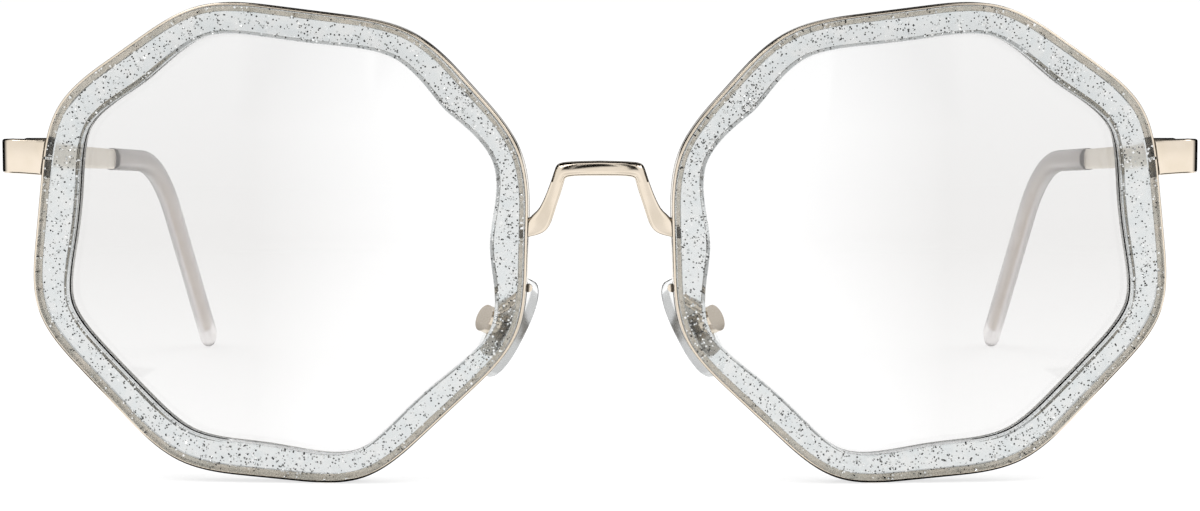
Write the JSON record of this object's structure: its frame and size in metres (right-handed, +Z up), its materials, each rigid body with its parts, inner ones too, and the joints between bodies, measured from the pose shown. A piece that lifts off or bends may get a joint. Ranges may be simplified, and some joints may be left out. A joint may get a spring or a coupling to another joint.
{
  "type": "eyeglasses",
  "caption": "Oversized polygonal eyeglasses: thin metal rim wire round clear speckled acetate rings, clear lenses, metal bridge, folding sleeved temples and rocking nose pads.",
  "frame": {"origin": "on the ground, in the middle of the glasses' width and depth", "axes": "+Z up, the lenses face -Y, the temples run back along +Y, +X is the wearer's left"},
  "size_m": [0.1462, 0.145, 0.0585],
  "materials": {
    "champagne_metal": "polished champagne plating on nickel silver",
    "temple_metal": "satin champagne plating on nickel silver",
    "pad_metal": "polished champagne plating",
    "screw_steel": "turned and polished",
    "glitter_acetate": "polished clear blue-grey acetate with glitter inside",
    "clear_acetate": "polished clear acetate",
    "lens": "polished, clear",
    "silicone": "smooth clear silicone"
  },
  "bodies": {
    "front": {"bridge": "champagne_metal", "left_rim_wire": "champagne_metal", "left_acetate_ring": "glitter_acetate", "left_lens": "lens", "left_lock_upper": "champagne_metal", "left_lock_lower": "champagne_metal", "left_lock_screw": "screw_steel", "left_end_piece": "champagne_metal", "left_front_hinge": "champagne_metal", "left_hinge_screw": "screw_steel", "left_pad_arm": "pad_metal", "left_pad_box": "pad_metal", "left_pad_screw": "screw_steel", "right_rim_wire": "champagne_metal", "right_acetate_ring": "glitter_acetate", "right_lens": "lens", "right_lock_upper": "champagne_metal", "right_lock_lower": "champagne_metal", "right_lock_screw": "screw_steel", "right_end_piece": "champagne_metal", "right_front_hinge": "champagne_metal", "right_hinge_screw": "screw_steel", "right_pad_arm": "pad_metal", "right_pad_box": "pad_metal", "right_pad_screw": "screw_steel"},
    "left_temple_body": {"left_temple": "temple_metal", "left_temple_sleeve": "clear_acetate", "left_temple_hinge": "champagne_metal"},
    "left_pad_body": {"left_nose_pad": "silicone", "left_pad_insert": "screw_steel"},
    "right_temple_body": {"right_temple": "temple_metal", "right_temple_sleeve": "clear_acetate", "right_temple_hinge": "champagne_metal"},
    "right_pad_body": {"right_nose_pad": "silicone", "right_pad_insert": "screw_steel"}
  },
  "joints": [
    {"name": "left_temple_fold", "type": "hinge", "parent": "front", "child": "left_temple_body", "pos_m": [0.07061, -0.0604, 0.03955], "axis": [0, 0, 1], "range_deg": [0, 86]},
    {"name": "right_temple_fold", "type": "hinge", "parent": "front", "child": "right_temple_body", "pos_m": [-0.07061, -0.0604, 0.03955], "axis": [0, 0, -1], "range_deg": [0, 82]},
    {"name": "left_pad_rock", "type": "hinge", "parent": "front", "child": "left_pad_body", "pos_m": [0.01341, -0.06298, 0.01922], "axis": [0.4415, 0.866, 0.2347], "range_deg": [-12, 12]},
    {"name": "right_pad_rock", "type": "hinge", "parent": "front", "child": "right_pad_body", "pos_m": [-0.01341, -0.06298, 0.01922], "axis": [0.4415, -0.866, -0.2347], "range_deg": [-12, 12]}
  ]
}
